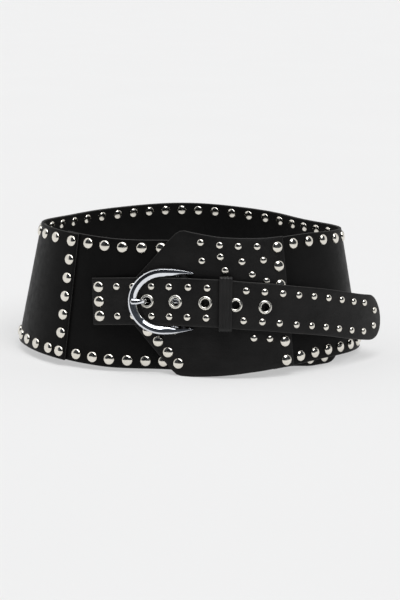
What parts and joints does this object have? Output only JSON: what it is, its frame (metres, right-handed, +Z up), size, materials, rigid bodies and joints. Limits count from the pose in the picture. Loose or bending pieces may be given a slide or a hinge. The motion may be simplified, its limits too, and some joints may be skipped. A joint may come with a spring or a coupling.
{
  "type": "studded belt",
  "caption": "Wide black leather waist belt edged with domed rivets, closed in front by a studded strap with a horseshoe buckle, prong, keeper loop and eyelets.",
  "frame": {"origin": "centre of the belt's length and depth, on the surface that it stands on", "axes": "+X towards the free end of the strap, at the belt's left as worn; -Y towards the front, where the buckle is; +Z up"},
  "size_m": [0.3264, 0.2598, 0.1217],
  "materials": {
    "panel_leather": "smooth matte black leather with a soft sheen; polished nickel rivets",
    "flap_leather": "black leather with a fine grain and light creases; polished nickel rivets and studs",
    "strap_leather": "black leather strap with a fine grain; polished nickel studs",
    "buckle_chrome": "mirror polished",
    "eyelet_nickel": "satin nickel",
    "rivet_nickel": "polished nickel domes"
  },
  "bodies": {
    "root": {"side_back_panel": "panel_leather", "front_left_panel": "panel_leather", "front_flap": "flap_leather", "buckle_strap": "strap_leather", "keeper_loop": "strap_leather", "buckle_chape": "strap_leather", "buckle_frame": "buckle_chrome", "buckle_prong": "buckle_chrome", "eyelet_1": "eyelet_nickel", "eyelet_2": "eyelet_nickel", "eyelet_3": "eyelet_nickel", "eyelet_4": "eyelet_nickel", "eyelet_5": "eyelet_nickel"}
  },
  "joints": []
}
